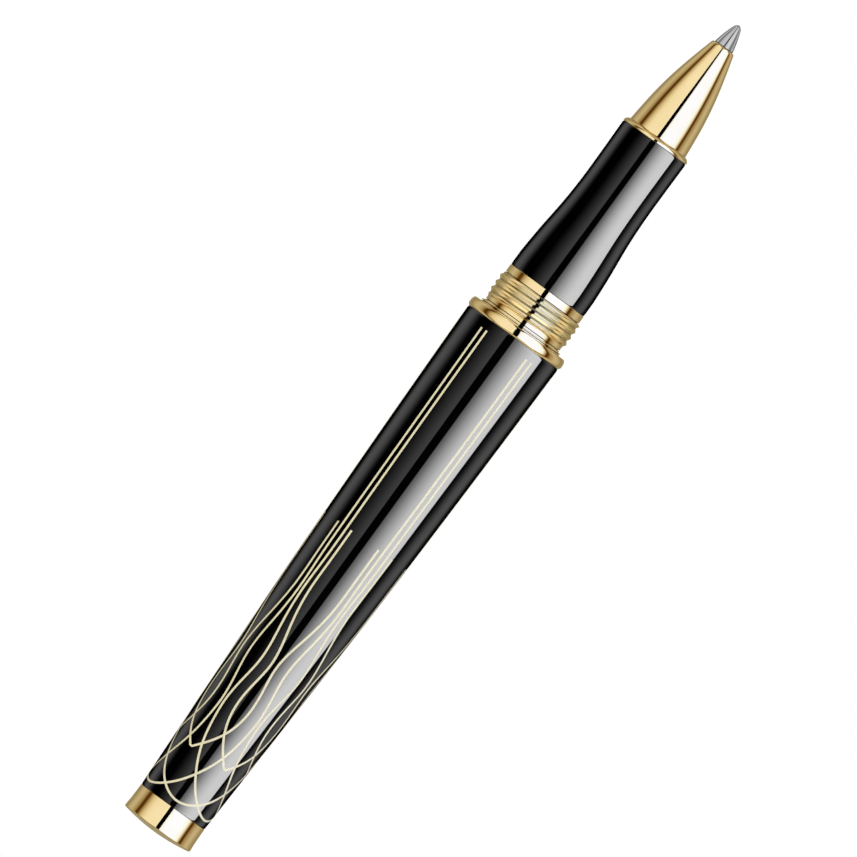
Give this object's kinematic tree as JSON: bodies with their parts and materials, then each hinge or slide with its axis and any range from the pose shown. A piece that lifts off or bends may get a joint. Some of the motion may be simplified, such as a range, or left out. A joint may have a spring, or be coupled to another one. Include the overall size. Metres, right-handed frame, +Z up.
{
  "type": "rollerball pen",
  "caption": "Uncapped rollerball pen: tapered lacquered barrel, waisted grip with a conical nose, a cap thread behind the grip, and a sprung refill.",
  "frame": {"origin": "centre of the bounding box's underside: halfway along the pen, below its axis, level with the bottom of its widest ring", "axes": "+X along the pen's axis towards the writing tip, +Z up, so the pen lies on its side"},
  "size_m": [0.125, 0.0142, 0.0143],
  "materials": {
    "gold_plate": "gold-plated brass, polished to a mirror",
    "black_lacquer": "deep black lacquer, high gloss",
    "bare_brass": "turned brass",
    "tip_steel": "fine-turned stainless steel",
    "carbide": "polished tungsten carbide",
    "spring_steel": "drawn spring wire",
    "refill_metal": "satin drawn tube",
    "refill_plastic": "moulded, satin",
    "ink_fibre": "ink-soaked polyester fibre",
    "guide_plastic": "moulded, satin"
  },
  "bodies": {
    "section": {"nose_cone": "gold_plate", "front_trim_ring": "gold_plate", "grip_section": "black_lacquer", "section_core": "bare_brass", "cap_thread_bush": "gold_plate"},
    "refill": {"tip_socket": "tip_steel", "tip_holder": "refill_plastic", "ink_wick": "ink_fibre", "ink_reservoir": "ink_fibre", "refill_tube": "refill_metal", "refill_end_plug": "refill_plastic"},
    "ball": {"writing_ball": "carbide"},
    "spring_carrier": {"spring_seat": "spring_steel", "refill_spring": "spring_steel"},
    "barrel": {"barrel_trim_ring": "gold_plate", "barrel_tube": "black_lacquer", "barrel_thread_bush": "bare_brass", "refill_guide": "guide_plastic", "tail_plug": "bare_brass", "butt_cap": "gold_plate"}
  },
  "joints": [
    {"name": "refill_slide", "type": "slide", "parent": "section", "child": "refill", "axis": [-1, 0, 0], "range_m": [0, 0.0012], "stiffness_N_per_m": 400, "springref_m": -0.002, "deforming": ["refill_spring"]},
    {"name": "ball_roll", "type": "hinge", "parent": "refill", "child": "ball", "pos_m": [0.06215, 0, 0.00713], "axis": [0, 1, 0], "continuous": true},
    {"name": "barrel_back", "type": "slide", "parent": "section", "child": "spring_carrier", "axis": [-1, 0, 0], "range_m": [0, 0.005]},
    {"name": "barrel_unscrew", "type": "hinge", "parent": "spring_carrier", "child": "barrel", "pos_m": [0.0095, 0, 0.00713], "axis": [-1, 0, 0], "range_deg": [0, 1800]}
  ],
  "couplings": [
    {"joint": "barrel_unscrew", "follows": "barrel_back", "rad_per_m": 6283.2}
  ]
}
